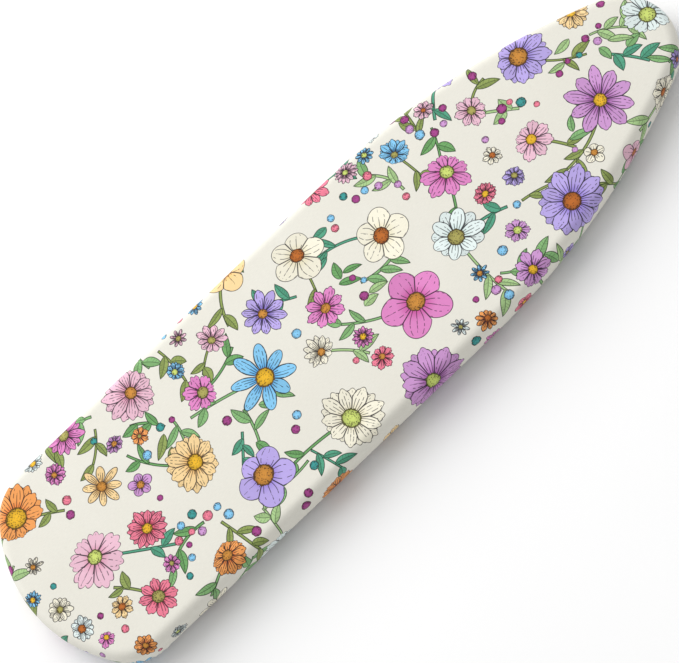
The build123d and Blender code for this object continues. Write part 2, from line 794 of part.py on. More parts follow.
# ---------------------------------------------------------------- storage catch
# A hook that hangs on a rivet under the front rib. It is parked along the leg and turns a
# quarter to put its toe under the left front tube.
catch_x = from_tail(rib_places["front"])
catch_y = 54.0
catch_disc_r = 9.0
catch_disc_bottom = 41.0
catch_gap = 0.3
catch_disc_top = rib_bottom - catch_gap
catch_rivet_r = 2.5
catch_rivet_head_r = 4.5
catch_rivet_head = 1.8
catch_arm = (5.0, 10.0)
catch_arm_from_axis = 11.0
toe_reach = 40.0
toe_bottom = 3.0
toe_top = 6.8
toe_corner_r = 3.0
with BuildPart() as storage_catch:
    with BuildSketch(Plane.XY.offset(catch_disc_bottom)):
        with Locations((catch_x, catch_y)):
            Circle(catch_disc_r)
        with Locations((catch_x - catch_arm_from_axis / 2, catch_y)):
            Rectangle(catch_arm_from_axis, catch_arm[1])
    extrude(amount=catch_disc_top - catch_disc_bottom)
    with BuildSketch(Plane.XY.offset(toe_bottom)):
        with Locations((catch_x - catch_arm_from_axis, catch_y)):
            Rectangle(*catch_arm)
    extrude(amount=catch_disc_top - toe_bottom)
    with BuildSketch(Plane.XY.offset(toe_bottom)):
        toe_middle = (catch_arm_from_axis + toe_reach) / 2
        with Locations((catch_x - toe_middle, catch_y)):
            RectangleRounded(toe_reach - catch_arm_from_axis, catch_arm[1], toe_corner_r)
    extrude(amount=toe_top - toe_bottom)
    with BuildSketch(Plane.XY.offset(catch_disc_bottom)):
        with Locations((catch_x, catch_y)):
            Circle(catch_rivet_r + running_fit)
    extrude(amount=catch_disc_top - catch_disc_bottom, mode=Mode.SUBTRACT)
finish(storage_catch, "storage_catch")

with BuildPart() as catch_rivet:
    rivet_shoulder = catch_disc_bottom - catch_gap
    with BuildSketch(Plane.XY.offset(rivet_shoulder)):
        with Locations((catch_x, catch_y)):
            Circle(catch_rivet_r)
    extrude(amount=rib_bottom - rivet_shoulder)
    with BuildSketch(Plane.XY.offset(rivet_shoulder)):
        with Locations((catch_x, catch_y)):
            Circle(catch_rivet_head_r)
    extrude(amount=-catch_rivet_head)
finish(catch_rivet, "catch_rivet")
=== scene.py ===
# A folding ironing board, lying folded flat on the floor with its covered top up.
# +X runs from the square tail to the rounded nose, +Y across to the left side. Metres throughout.
import math

import bmesh
import bpy
import numpy as np
from mathutils import Matrix, Vector


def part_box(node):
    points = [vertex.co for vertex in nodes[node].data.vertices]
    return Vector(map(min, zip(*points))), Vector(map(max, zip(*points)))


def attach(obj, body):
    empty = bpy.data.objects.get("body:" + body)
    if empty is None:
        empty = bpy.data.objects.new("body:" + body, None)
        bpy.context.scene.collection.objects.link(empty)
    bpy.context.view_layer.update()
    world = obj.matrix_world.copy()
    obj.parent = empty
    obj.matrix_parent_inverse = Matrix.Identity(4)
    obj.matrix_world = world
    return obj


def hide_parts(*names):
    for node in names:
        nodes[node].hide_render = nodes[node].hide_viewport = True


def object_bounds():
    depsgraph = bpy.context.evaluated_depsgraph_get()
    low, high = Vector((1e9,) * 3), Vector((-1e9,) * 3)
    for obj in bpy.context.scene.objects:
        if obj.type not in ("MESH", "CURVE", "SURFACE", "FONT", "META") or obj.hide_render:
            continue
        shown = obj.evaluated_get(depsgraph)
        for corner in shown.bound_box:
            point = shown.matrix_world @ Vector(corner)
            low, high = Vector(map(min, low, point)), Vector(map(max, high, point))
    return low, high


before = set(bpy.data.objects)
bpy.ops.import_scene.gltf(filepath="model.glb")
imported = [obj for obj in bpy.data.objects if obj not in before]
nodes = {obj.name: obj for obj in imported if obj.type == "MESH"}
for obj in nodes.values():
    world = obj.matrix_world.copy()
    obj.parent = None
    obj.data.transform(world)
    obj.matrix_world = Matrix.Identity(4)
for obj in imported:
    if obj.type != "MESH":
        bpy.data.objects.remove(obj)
cad_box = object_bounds()

# ---------------------------------------------------------------- camera
# The camera looks down on the board from its right side, turned so that the board lies
# corner to corner, with the nose at the upper right.
elevation = math.radians(66.5)
roll = math.radians(43.76)
camera_distance = 3.558
view_back = Vector((0, -math.cos(elevation), math.sin(elevation)))
level_right = Vector((1, 0, 0))
level_up = view_back.cross(level_right)
view_right = math.cos(roll) * level_right - math.sin(roll) * level_up
view_up = math.sin(roll) * level_right + math.cos(roll) * level_up
looked_at = Vector((0, 0, 0.060)) - 0.0102 * view_right - 0.0345 * view_up
camera = bpy.data.objects.new("camera", bpy.data.cameras.new("camera"))
turn = Matrix((view_right, view_up, view_back)).transposed().to_4x4()
camera.matrix_world = Matrix.Translation(looked_at + camera_distance * view_back) @ turn
camera.data.lens = 120.0
camera.data.clip_end = 50.0
bpy.context.scene.collection.objects.link(camera)
bpy.context.scene.camera = camera

# ---------------------------------------------------------------- cover: cut and shape
# Printed cotton, cut to the board's outline plus its sides and hem, stretched over the pad.
# It rolls over the rim, and the hem's elastic gathers it under, most where the outline is round.
board_length = cad_box[1].x - cad_box[0].x
half_width = cad_box[1].y
tail_x = cad_box[0].x
cover_low, cover_high = (corner.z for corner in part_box("cover"))
corner_r = 0.090
corner_from_end = 0.122
corner_from_middle = 0.100
side_from = 0.260
side_to = 0.815
nose_r = 0.095
cover_columns = 960
roll_r = 0.017
cloth_thickness = 0.0008
hem_turn_r = 0.0032
side_draw = 0.0012
hem_reach = 0.022
top_dip = 0.0003


def long_arc_r(run, depth, inner_r):
    """Radius of a long arc that leaves a straight side and closes on a smaller arc inside it."""
    return (run**2 / (depth - inner_r) + depth + inner_r) / 2


def board_edge(columns):
    """Points evenly spaced round the board's edge, the outward direction and bend at each."""
    crown_r = (corner_from_end**2 + corner_from_middle**2 - corner_r**2) / (
        2 * (corner_from_end - corner_r)
    )
    belly_r = long_arc_r(side_from - corner_from_end, half_width - corner_from_middle, corner_r)
    nose_from_tail = board_length - nose_r
    shoulder_r = long_arc_r(nose_from_tail - side_to, half_width, nose_r)
    crown = np.array((crown_r, 0.0))
    corner = np.array((corner_from_end, corner_from_middle))
    belly = np.array((side_from, half_width - belly_r))
    shoulder = np.array((side_to, half_width - shoulder_r))
    nose = np.array((nose_from_tail, 0.0))
    towards = lambda a, b: math.atan2(*(b - a)[::-1])
    arcs = (
        (crown, crown_r, math.pi, towards(crown, corner)),
        (corner, corner_r, towards(crown, corner), towards(belly, corner)),
        (belly, belly_r, towards(belly, corner), math.pi / 2),
        (shoulder, shoulder_r, math.pi / 2, towards(shoulder, nose)),
        (nose, nose_r, towards(shoulder, nose), 0.0),
    )
    places, ways, bends = [], [], []
    for centre, radius, start, end in arcs:
        angles = np.linspace(start, end, 800)
        way = np.stack([np.cos(angles), np.sin(angles)], axis=1)
        places.append(centre + radius * way)
        ways.append(way)
        bends.append(np.full(len(angles), 1 / radius))
    places, ways, bends = (np.concatenate(x) for x in (places, ways, bends))
    along = np.r_[0, np.cumsum(np.linalg.norm(np.diff(places, axis=0), axis=1))]
    at = np.linspace(0, along[-1], columns // 2 + 1)
    x, y, way_x, way_y, bend = (
        np.interp(at, along, values)
        for values in (places[:, 0], places[:, 1], ways[:, 0], ways[:, 1], bends)
    )
    left = np.stack([x + tail_x, y, way_x, way_y, bend], axis=1)
    right = left[-2:0:-1] * (1, -1, 1, -1, 1)
    loop = np.concatenate([left, right])
    return loop[:, :2], loop[:, 2:4], loop[:, 4], 2 * along[-1]


def smooth_step(values):
    """0 to 1 with soft ends."""
    clipped = np.clip(values, 0, 1)
    return clipped * clipped * (3 - 2 * clipped)


edge, outward, bend, edge_length = board_edge(cover_columns)
roll_steps, side_steps, turn_steps, hem_steps, top_steps = 7, 7, 4, 5, 17
side_top = cover_high - roll_r
side_bottom = cover_low + hem_turn_r

# One row of the cloth after another: how far in it lies, its height, and the cloth used so far.
rows = []
for step in range(roll_steps + 1):
    angle = math.pi / 2 * step / roll_steps
    inset = roll_r * (1 - math.sin(angle))
    rows.append((inset, cover_high - roll_r * (1 - math.cos(angle))))
for step in range(1, side_steps + 1):
    share = step / side_steps
    rows.append((side_draw * share**2, side_top + (side_bottom - side_top) * share))
for step in range(1, turn_steps + 1):
    angle = math.pi / 2 * step / turn_steps
    inset = side_draw + hem_turn_r * (1 - math.cos(angle))
    rows.append((inset, side_bottom - hem_turn_r * math.sin(angle)))
hem_start = side_draw + hem_turn_r
for step in range(1, hem_steps + 1):
    rows.append((hem_start + (hem_reach - hem_start) * step / hem_steps, cover_low))
profile = np.array(rows)
cloth_used = np.r_[0, np.cumsum(np.linalg.norm(np.diff(profile, axis=0), axis=1))]
side_begins = cloth_used[roll_steps]

# Gathers: soft ridges with sharp valleys between them, deepest at the hem.
position = np.arange(cover_columns) * edge_length / cover_columns
gather_pitch = 0.0165
gather_phase = position / gather_pitch + 0.35 * np.sin(position * 61) + 0.25 * np.sin(position * 143)
ridge = np.abs(np.sin(math.pi * gather_phase)) - 0.45
ridge *= 0.8 + 0.3 * np.sin(position * 37 + 1.0)
fullness = 0.14 + 0.86 * smooth_step((bend - 0.8) / 6)
kernel = np.hanning(41)
fullness = np.convolve(np.r_[fullness[-20:], fullness, fullness[:20]], kernel / kernel.sum(), "valid")
gather_height = 0.0028

points, flat = [], []
spine = np.stack([np.clip(edge[:, 0], tail_x + 0.11, tail_x + board_length - nose_r), 0 * position], 1)
roll_start = edge - outward * roll_r
for step in range(top_steps):
    share = 1 - (1 - step / top_steps) ** 1.5
    here = spine + (roll_start - spine) * share
    swell = 0.00015 * (
        np.sin(here[:, 0] * 23 + here[:, 1] * 9) + np.sin(here[:, 1] * 41 - here[:, 0] * 17 + 2)
    )
    swell *= 1 - smooth_step((share - 0.75) * 4)
    points.append(np.c_[here, cover_high - top_dip + swell])
    flat.append(here)
for (inset, height), used in zip(profile, cloth_used):
    depth = smooth_step((used - side_begins - 0.003) / 0.027)
    lift = gather_height * depth * fullness * ridge
    turned = used > cloth_used[-hem_steps - 3]
    under = smooth_step((inset - hem_start * 0.6) / hem_start) if turned else 0.0
    here = edge - outward * inset + outward * (lift * (1 - under))[:, None]
    sag = -lift * under * 0.7
    dip = -top_dip * (1 - smooth_step(used / 0.012))
    points.append(np.c_[here, height + dip + sag])
    flat.append(roll_start + outward * used)
points, flat = np.array(points), np.array(flat)
row_count = len(points)

index = np.arange(row_count * cover_columns).reshape(row_count, cover_columns)
after = np.roll(index, -1, axis=1)
quads = np.stack([index[:-1], index[1:], after[1:], after[:-1]], axis=-1).reshape(-1, 4)
cover_mesh = bpy.data.meshes.new("cover_cloth")
cover_mesh.from_pydata(points.reshape(-1, 3).tolist(), [], quads.tolist())
cut = cover_mesh.attributes.new("cut", "FLOAT_VECTOR", "POINT")
cut_places = np.c_[flat.reshape(-1, 2), np.zeros(flat[..., 0].size)]
cut.data.foreach_set("vector", cut_places.astype(np.float32).ravel())
welded = bmesh.new()
welded.from_mesh(cover_mesh)
bmesh.ops.remove_doubles(welded, verts=welded.verts, dist=1e-6)
bmesh.ops.recalc_face_normals(welded, faces=welded.faces)
top_face = max(welded.faces, key=lambda face: face.calc_center_median().z)
if top_face.normal.z < 0:
    bmesh.ops.reverse_faces(welded, faces=welded.faces)
welded.to_mesh(cover_mesh)
welded.free()
cover_mesh.polygons.foreach_set("use_smooth", np.ones(len(cover_mesh.polygons), bool))
cover_piece = bpy.data.objects.new("printed_cover", cover_mesh)
bpy.context.scene.collection.objects.link(cover_piece)

# ---------------------------------------------------------------- cover: the print
# Hand-inked garden flowers on cream, strewn by chance from a fixed seed: large blooms first, then
# smaller ones in the gaps, each larger one with a stem and leaves, then leafy sprays and berries.
# A leaning flower shows its petals shorter on the side that turns away.
kinds = (  # petals, petal width, notch in the tip, ring behind
    (6, 0.22, 0.0, 1), (7, 0.17, 0.05, 1), (8, 0.17, 0.0, 0), (8, 0.28, 0.08, 0),
    (7, 0.36, 0.12, 0), (5, 0.40, 0.0, 0), (9, 0.20, 0.05, 1), (10, 0.20, 0.03, 0),
)
petal_inks = (
    "E189C6", "EDC0D2", "BBAAE8", "86C8EF", "E4F0EE",
    "F5F0DC", "F8D79E", "EE8098", "F2A25C", "CF9AD2",
)
heart_inks = ("C9D873", "E8B52E", "A9A25A", "B9692C", "C98A3C")
berry_inks = ("3F9A97", "A6478C", "86C8EF", "CF9AD2", "EE8098")
green_inks = ("85B577", "6FA565", "8FA05A", "A8C98C", "55A082")
bloom_sizes = ((26, 0.050, 0.066), (34, 0.033, 0.045), (50, 0.017, 0.026))  # count, least, most
stemless_reach = 0.03
bloom_leaves = (0.66, 0.80, 0.95)
spray_leaves = (0.2, 0.4, 0.6, 0.8, 0.97)
spray_count = 44
berry_count = 120
cloth_half = np.array((0.745, 0.250))
strewing = np.random.default_rng(8)


def open_spot(taken, reach, closeness):
    """A chance spot on the cloth that keeps clear of what is there already, or none."""
    for _ in range(120):
        spot = strewing.uniform(-cloth_half, cloth_half)
        if all(math.dist(spot, other) > closeness * (reach + size) for *other, size in taken):
            return spot
    return None


def pick(inks):
    """One of the inks, by chance."""
    return inks[strewing.integers(len(inks))]


def toward(angle, length):
    """A step of this length at this angle."""
    return length * np.array((math.cos(angle), math.sin(angle)))


flowers, greens, taken = [], [], []


def leafy_stem(start, angle, length, leaf_shares):
    """Lists a bowed stem and the leaves that stand off it, left and right in turn."""
    ink = pick(green_inks)
    bow = strewing.uniform(-0.12, 0.12) * length
    end = start + toward(angle, length)
    greens.append((start, end, bow, strewing.uniform(0.0018, 0.0026), ink, 0))
    for number, share in enumerate(leaf_shares):
        root = start + (end - start) * share
        root = root + toward(angle + math.pi / 2, 4 * bow * share * (1 - share))
        aside = (1 if number % 2 else -1) * strewing.uniform(0.6, 0.95)
        tip = root + toward(angle + aside, strewing.uniform(0.026, 0.044))
        greens.append((root, tip, 0.002, strewing.uniform(0.0055, 0.0085), ink, 1))


for wanted, least, most in bloom_sizes:
    for _ in range(wanted):
        reach = strewing.uniform(least, most)
        spot = open_spot(taken, reach, 0.96)
        if spot is None:
            continue
        taken.append((*spot, reach))
        heart_share = strewing.uniform(0.19, 0.30)
        turn, squeeze, lean = strewing.uniform((0, 0.88, 0.0), (math.tau, 1.0, 0.5))
        kind = kinds[strewing.integers(len(kinds))]
        petal = pick(petal_inks)
        heart = pick(heart_inks)
        flowers.append((spot, reach, kind, petal, heart, heart_share, turn, squeeze, lean))
        if least > stemless_reach:
            angle = strewing.uniform(0, math.tau)
            leafy_stem(spot, angle, reach * strewing.uniform(1.6, 2.3), bloom_leaves)
for _ in range(spray_count):
    spot = open_spot(taken, 0.012, 1.0)
    if spot is not None:
        angle = strewing.uniform(0, math.tau)
        leafy_stem(spot, angle, strewing.uniform(0.05, 0.08), spray_leaves)
for _ in range(berry_count):
    reach = strewing.uniform(0.005, 0.009)
    spot = open_spot(taken, reach, 1.15)
    if spot is not None:
        taken.append((*spot, reach))
        ink = pick(berry_inks)
        flowers.append((spot, reach, (1, 0.0, 0.0, 0), ink, ink, 1.0, 0.0, 1.0, 0.0))


def dye(ink):
    """An ink's colour in linear light."""
    channels = [int(ink[i:i + 2], 16) / 255 for i in (0, 2, 4)]
    return [((c + 0.055) / 1.055) ** 2.4 if c > 0.04045 else c / 12.92 for c in channels]


loop_points = np.zeros(len(cover_mesh.loops), np.int32)
cover_mesh.loops.foreach_get("vertex_index", loop_points)
flat_points = np.zeros(len(cover_mesh.vertices) * 3, np.float32)
cover_mesh.attributes["cut"].data.foreach_get("vector", flat_points)
corners = flat_points.reshape(-1, 3)[loop_points][:, :2].astype(float)
sizes = np.zeros(len(cover_mesh.polygons), np.int32)
cover_mesh.polygons.foreach_get("loop_total", sizes)
face_of = np.repeat(np.arange(len(sizes)), sizes)
middles = np.stack([np.bincount(face_of, corners[:, k]) / sizes for k in (0, 1)], axis=1)
face_reach = np.zeros(len(sizes))
np.maximum.at(face_reach, face_of, np.linalg.norm(corners - middles[face_of], axis=1))
lean_start = 0.05  # one number holds the ring behind and the lean, told apart by this start
seed_steps = 97.0
flower_layers = ("flower_over", "flower_under")
green_layers = ("green_over", "green_between", "green_under")
flower_facts = ("place", "form", "more", "petal", "heart")
green_facts = ("place", "more", "ink")
printed = {
    f"{layer}_{fact}": np.zeros((len(corners), 3))
    for layers, facts in ((flower_layers, flower_facts), (green_layers, green_facts))
    for layer in layers
    for fact in facts
}
laid = {layers: np.zeros(len(sizes), int) for layers in (flower_layers, green_layers)}


def room_for(layers, near):
    """Whether a motif may go on these faces, which each hold only so many."""
    if not near.any() or laid[layers][near].max() >= len(layers):
        return False
    laid[layers][near] += 1
    return True


def lay(layers, facts, chosen, values):
    """Prints a motif over what is already on the chosen corners, keeping the layers under it."""
    for over, under in reversed(list(zip(layers, layers[1:]))):
        for fact in facts:
            printed[f"{under}_{fact}"][chosen] = printed[f"{over}_{fact}"][chosen]
    for fact, value in zip(facts, values):
        printed[f"{layers[0]}_{fact}"][chosen] = value


for number, (centre, size, kind, petal, heart, heart_share, turn, squeeze, lean) in enumerate(flowers):
    petals, width, notch, second = kind
    near = np.linalg.norm(middles - centre, axis=1) < size * 1.02 + face_reach + 0.001
    if not room_for(flower_layers, near):
        continue
    chosen = near[face_of]
    away = (corners[chosen] - centre) / size
    local = np.stack([
        away @ toward(turn, 1.0),
        away @ toward(turn + math.pi / 2, 1.0) / squeeze,
        np.full(len(away), size),
    ], axis=1)
    form = (petals, notch, heart_share)
    more = ((number * 0.618) % 1, width, second + lean_start + lean)
    lay(flower_layers, flower_facts, chosen, (local, form, more, dye(petal), dye(heart)))


def nearest(spots, line):
    """Share along a line, signed distance to its side, and plain distance, for each spot."""
    run = np.diff(line, axis=0)
    away = spots[:, None] - line[None, :-1]
    along = (away * run).sum(2) / (run**2).sum(1)
    held = np.clip(along, 0, 1)
    held[:, 0] = np.minimum(along[:, 0], 1)
    held[:, -1] = np.maximum(along[:, -1], 0)
    gap = away - held[..., None] * run
    best = (gap**2).sum(2).argmin(1)
    row = np.arange(len(spots))
    off = away[row, best]
    turned = run[best, 0] * off[:, 1] - run[best, 1] * off[:, 0]
    signed = turned / np.linalg.norm(run[best], axis=1)
    return (best + held[row, best]) / len(run), signed, np.linalg.norm(gap[row, best], axis=1)


for number, (start, end, bow, wide, ink, leaf) in enumerate(greens):
    length = np.linalg.norm(end - start)
    side = np.array((start[1] - end[1], end[0] - start[0])) / length
    shares = np.linspace(0, 1, 25)[:, None]
    line = start + (end - start) * shares + side * bow * 4 * shares * (1 - shares)
    from_middle = np.linalg.norm(middles - (start + end) / 2, axis=1)
    candidates = np.flatnonzero(from_middle < length / 2 + abs(bow) + 0.02)
    if not len(candidates):
        continue
    share, _, gap = nearest(middles[candidates], line)
    past_end = np.maximum(-share, share - 1) * length
    near = np.zeros(len(middles), bool)
    near[candidates] = np.maximum(gap - wide, past_end) < face_reach[candidates] + 0.001
    if not room_for(green_layers, near):
        continue
    chosen = near[face_of]
    share, signed, _ = nearest(corners[chosen], line)
    place = np.stack([share, signed / wide, np.full(len(share), wide)], axis=1)
    lay(green_layers, green_facts, chosen, (place, (leaf, length, (number * 0.414) % 1), dye(ink)))

for name, values in printed.items():
    cover_mesh.attributes.new(name, "FLOAT_VECTOR", "CORNER").data.foreach_set(
        "vector", values.astype(np.float32).ravel()
    )


# The print's inks, drawn on the cloth by its material.
def put(tree, kind, *values, out=0, **settings):
    """Adds a node, sets its options, and feeds its inputs in order with numbers or other outputs."""
    node = tree.nodes.new("ShaderNode" + kind)
    for name, value in settings.items():
        setattr(node, name, value)
    for socket, value in zip(node.inputs, values):
        if isinstance(value, bpy.types.NodeSocket):
            tree.links.new(value, socket)
        elif value is not None:
            socket.default_value = value
    return node.outputs[out]


def calc(tree, operation, *values):
    """One step of arithmetic."""
    return put(tree, "Math", *values, operation=operation)


def fade(tree, value, low, high):
    """0 below low, 1 above high, soft between."""
    return put(tree, "MapRange", value, low, high, 0.0, 1.0, interpolation_type="SMOOTHSTEP")


def layover(tree, share, under, over, how="MIX"):
    """Lays one colour over another."""
    return put(tree, "Mix", share, None, None, None, None, None, under, over, out=2,
               data_type="RGBA", blend_type=how)


def read(tree, name):
    """The three numbers that the cloth carries under a name."""
    vector = put(tree, "Attribute", attribute_name=name, out=1)
    parts = tree.nodes.new("ShaderNodeSeparateXYZ")
    tree.links.new(vector, parts.inputs[0])
    return list(parts.outputs), vector


def petal_ring(tree, along, across, reach, petals, width, notch, seed, lean, turn, length):
    """Cover, ink and base tone of one ring of petals."""
    do = lambda operation, *values: calc(tree, operation, *values)
    radius = do("SQRT", do("MULTIPLY_ADD", along, along, do("MULTIPLY", across, across)))
    angle = do("DIVIDE", do("ARCTAN2", across, along), 2 * math.pi)
    around = do("MULTIPLY_ADD", angle, petals, turn)
    petal = do("FLOORED_MODULO", do("FLOOR", around), petals)
    offset = do("MULTIPLY_ADD", do("FRACT", around), 2.0, -1.0)
    dice = put(tree, "TexWhiteNoise", put(tree, "CombineXYZ", petal, seed, turn), out=1)
    chance = tree.nodes.new("ShaderNodeSeparateXYZ")
    tree.links.new(dice, chance.inputs[0])
    lobes = do("SUBTRACT", 1.0, do("ABSOLUTE", do("COSINE", do("MULTIPLY", offset, 1.5 * math.pi))))
    size = do("MULTIPLY", do("MULTIPLY_ADD", chance.outputs[0], -0.16 * length, length),
              do("SUBTRACT", 1.0, do("MULTIPLY", notch, lobes)))
    heading = do("SINE", do("DIVIDE", do("MULTIPLY", do("ADD", petal, 0.5 - turn), math.tau), petals))
    away = do("MULTIPLY_ADD", heading, -0.5, 0.5)
    size = do("MULTIPLY", size, do("SUBTRACT", 1.0, do("MULTIPLY", lean, away)))
    share = do("DIVIDE", radius, size)
    bulge = do("MAXIMUM", do("MULTIPLY_ADD", share, 1 / 0.38, -0.62 / 0.38), 0.0)
    root = put(tree, "MapRange", share, 0.05, 0.62, 0.30, 1.0, interpolation_type="SMOOTHSTEP")
    full = do("MULTIPLY", do("MULTIPLY", width, do("MULTIPLY_ADD", chance.outputs[1], 0.24, 0.88)), root)
    beside = do("ABSOLUTE", offset)
    spread = do("DIVIDE", do("MULTIPLY", radius, math.pi), petals)
    sideways = do("MULTIPLY", beside, spread)
    wide = do("DIVIDE", sideways, do("MAXIMUM", full, 0.001))
    oval = do("SQRT", do("MULTIPLY_ADD", wide, wide, do("MULTIPLY", bulge, bulge)))
    rise = do("MULTIPLY", bulge, 1 / 0.38)
    run = do("DIVIDE", wide, do("MAXIMUM", full, 0.001))
    steep = do("MAXIMUM", do("SQRT", do("MULTIPLY_ADD", rise, rise, do("MULTIPLY", run, run))), 0.001)
    inside = do("DIVIDE", do("MULTIPLY", do("SUBTRACT", 1.0, oval), oval), steep)
    rounded = do("SUBTRACT", 1.0, do("MULTIPLY", bulge, bulge))
    half = do("MULTIPLY", full, do("SQRT", do("MAXIMUM", rounded, 0.04)))
    neighbour = do("MULTIPLY", spread, do("SUBTRACT", 1.0, beside))
    inside_m = do("MULTIPLY", inside, reach)
    edge_m = do("MULTIPLY", do("MINIMUM", inside, neighbour), reach)
    cover = fade(tree, inside_m, -0.0006, -0.0003)
    outline = do("SUBTRACT", 1.0, fade(tree, edge_m, 0.0006, 0.0013))
    across_share = do("MULTIPLY", do("DIVIDE", sideways, do("MAXIMUM", half, 0.01)), 2.2)
    strand = do("ABSOLUTE", do("SUBTRACT", do("FRACT", do("ADD", across_share, 0.5)), 0.5))
    strand_m = do("MULTIPLY", do("MULTIPLY", strand, half), do("DIVIDE", reach, 2.2))
    which = do("MULTIPLY_ADD", do("SIGN", offset), 7.0, do("FLOOR", do("ADD", across_share, 0.5)))
    step = do("FLOOR", do("DIVIDE", do("MULTIPLY", radius, reach), 0.0040))
    one_petal = do("ADD", petal, do("MULTIPLY", seed, 31.0))
    luck = put(tree, "TexWhiteNoise", put(tree, "CombineXYZ", one_petal, which, step))
    thin = do("MULTIPLY_ADD", fade(tree, share, 0.34, 0.96), 0.66, 0.10)
    dash = do("MULTIPLY", do("GREATER_THAN", luck, thin), do("LESS_THAN", share, 0.92))
    vein = do("MULTIPLY", do("SUBTRACT", 1.0, fade(tree, strand_m, 0.0003, 0.0009)), dash)
    ink = do("MAXIMUM", outline, do("MULTIPLY", vein, 0.92))
    base = do("SUBTRACT", 1.0, fade(tree, share, 0.12, 0.60))
    light = do("MULTIPLY_ADD", chance.outputs[2], 0.16, 0.88)
    return cover, ink, base, light, radius


def draw_flower(tree, layer, cloth):
    """Draws one layer of flowers over the cloth's colour."""
    do = lambda operation, *values: calc(tree, operation, *values)
    (along, across, reach), _ = read(tree, f"{layer}_place")
    (petals, notch, heart_share), _ = read(tree, f"{layer}_form")
    (seed, width, rings), _ = read(tree, f"{layer}_more")
    second = do("FLOOR", rings)
    lean = do("MAXIMUM", do("SUBTRACT", do("FRACT", rings), lean_start), 0.0)
    seed = do("ROUND", do("MULTIPLY", seed, seed_steps))
    _, petal_ink = read(tree, f"{layer}_petal")
    _, heart_ink = read(tree, f"{layer}_heart")
    there = do("GREATER_THAN", reach, 0.0001)
    petalled = do("MULTIPLY", there, do("GREATER_THAN", petals, 1.5))
    petals = do("MAXIMUM", do("ROUND", petals), 1.0)
    radius = None
    for turn, length, dark, wanted in ((0.5, 0.96, 0.94, second), (0.0, 1.0, 1.0, 1.0)):
        cover, ink, base, light, radius = petal_ring(
            tree, along, across, reach, petals, width, notch, seed, lean, turn, length
        )
        deep = layover(tree, 1.0, petal_ink, petal_ink, "MULTIPLY")
        colour = layover(tree, do("MULTIPLY", base, 0.95), petal_ink, deep)
        shade = do("MULTIPLY", light, dark)
        colour = layover(tree, 1.0, colour, put(tree, "CombineXYZ", shade, shade, shade), "MULTIPLY")
        colour = layover(tree, do("MULTIPLY", ink, 0.97), colour, (0.016, 0.012, 0.018, 1))
        cloth = layover(tree, do("MULTIPLY", do("MULTIPLY", cover, petalled), wanted), cloth, colour)
    spot = put(tree, "CombineXYZ", do("MULTIPLY", along, reach), do("MULTIPLY", across, reach), seed)
    ragged = put(tree, "TexNoise", spot, None, 260.0, 2.0, 0.5)
    heart = do("DIVIDE", radius, do("MAXIMUM", heart_share, 0.01))
    heart = do("ADD", heart, do("MULTIPLY_ADD", ragged, 0.34, -0.17))
    heart_cover = do("MULTIPLY", do("SUBTRACT", 1.0, fade(tree, heart, 0.98, 1.03)), there)
    seeds = put(tree, "TexVoronoi", spot, None, 330.0)
    dotted = do("MULTIPLY", do("LESS_THAN", seeds, 0.36), fade(tree, heart, -0.3, 0.8))
    rim = fade(tree, heart, 0.80, 0.90)
    bowl = do("MULTIPLY_ADD", fade(tree, heart, 0.2, 1.0), -0.38, 1.06)
    colour = layover(tree, 1.0, heart_ink, put(tree, "CombineXYZ", bowl, bowl, bowl), "MULTIPLY")
    dark = do("MULTIPLY", do("MAXIMUM", dotted, rim), 0.85)
    colour = layover(tree, dark, colour, (0.035, 0.018, 0.012, 1))
    return layover(tree, heart_cover, cloth, colour)


def draw_green(tree, layer, cloth):
    """Draws one layer of stems and leaves over the cloth's colour."""
    do = lambda operation, *values: calc(tree, operation, *values)
    (share, aside, half), _ = read(tree, f"{layer}_place")
    (leaf, length, seed), _ = read(tree, f"{layer}_more")
    _, green_ink = read(tree, f"{layer}_ink")
    held = do("MINIMUM", do("MAXIMUM", share, 0.0), 1.0)
    belly = do("SINE", do("MULTIPLY", do("POWER", held, 0.8), math.pi))
    belly = do("POWER", do("MAXIMUM", belly, 0.0), 0.8)
    shape = do("MULTIPLY_ADD", leaf, do("SUBTRACT", belly, 1.0), 1.0)
    beside = do("ABSOLUTE", aside)
    inside = do("MULTIPLY", do("SUBTRACT", shape, beside), half)
    ends = do("MULTIPLY", do("MINIMUM", share, do("SUBTRACT", 1.0, share)), length)
    inside = do("MINIMUM", inside, do("ADD", ends, 0.0002))
    cover = do("MULTIPLY", fade(tree, inside, -0.0006, -0.0003), do("GREATER_THAN", half, 0.0001))
    outline = do("SUBTRACT", 1.0, fade(tree, inside, 0.0005, 0.0011))
    rib = do("SUBTRACT", 1.0, fade(tree, do("MULTIPLY", beside, half), 0.0003, 0.0008))
    up_leaf = do("DIVIDE", do("MULTIPLY", share, length), 0.0048)
    steps = do("FRACT", do("SUBTRACT", up_leaf, do("MULTIPLY", beside, 0.9)))
    side_rib = do("SUBTRACT", 1.0, fade(tree, do("ABSOLUTE", do("SUBTRACT", steps, 0.5)), 0.06, 0.15))
    seed = do("ROUND", do("MULTIPLY", seed, seed_steps))
    stretch = do("FLOOR", do("MULTIPLY", share, 14.0))
    luck = put(tree, "TexWhiteNoise", put(tree, "CombineXYZ", stretch, do("SIGN", aside), seed))
    side_rib = do("MULTIPLY", side_rib, do("GREATER_THAN", luck, 0.45))
    inner = do("MULTIPLY", do("MAXIMUM", rib, do("MULTIPLY", side_rib, 0.6)), leaf)
    ink = do("MAXIMUM", outline, do("MULTIPLY", inner, 0.75))
    shade = do("MULTIPLY_ADD", do("SIGN", aside), 0.09, 0.97)
    colour = layover(tree, 1.0, green_ink, put(tree, "CombineXYZ", shade, shade, shade), "MULTIPLY")
    colour = layover(tree, do("MULTIPLY", ink, 0.95), colour, (0.014, 0.024, 0.014, 1))
    return layover(tree, cover, cloth, colour)


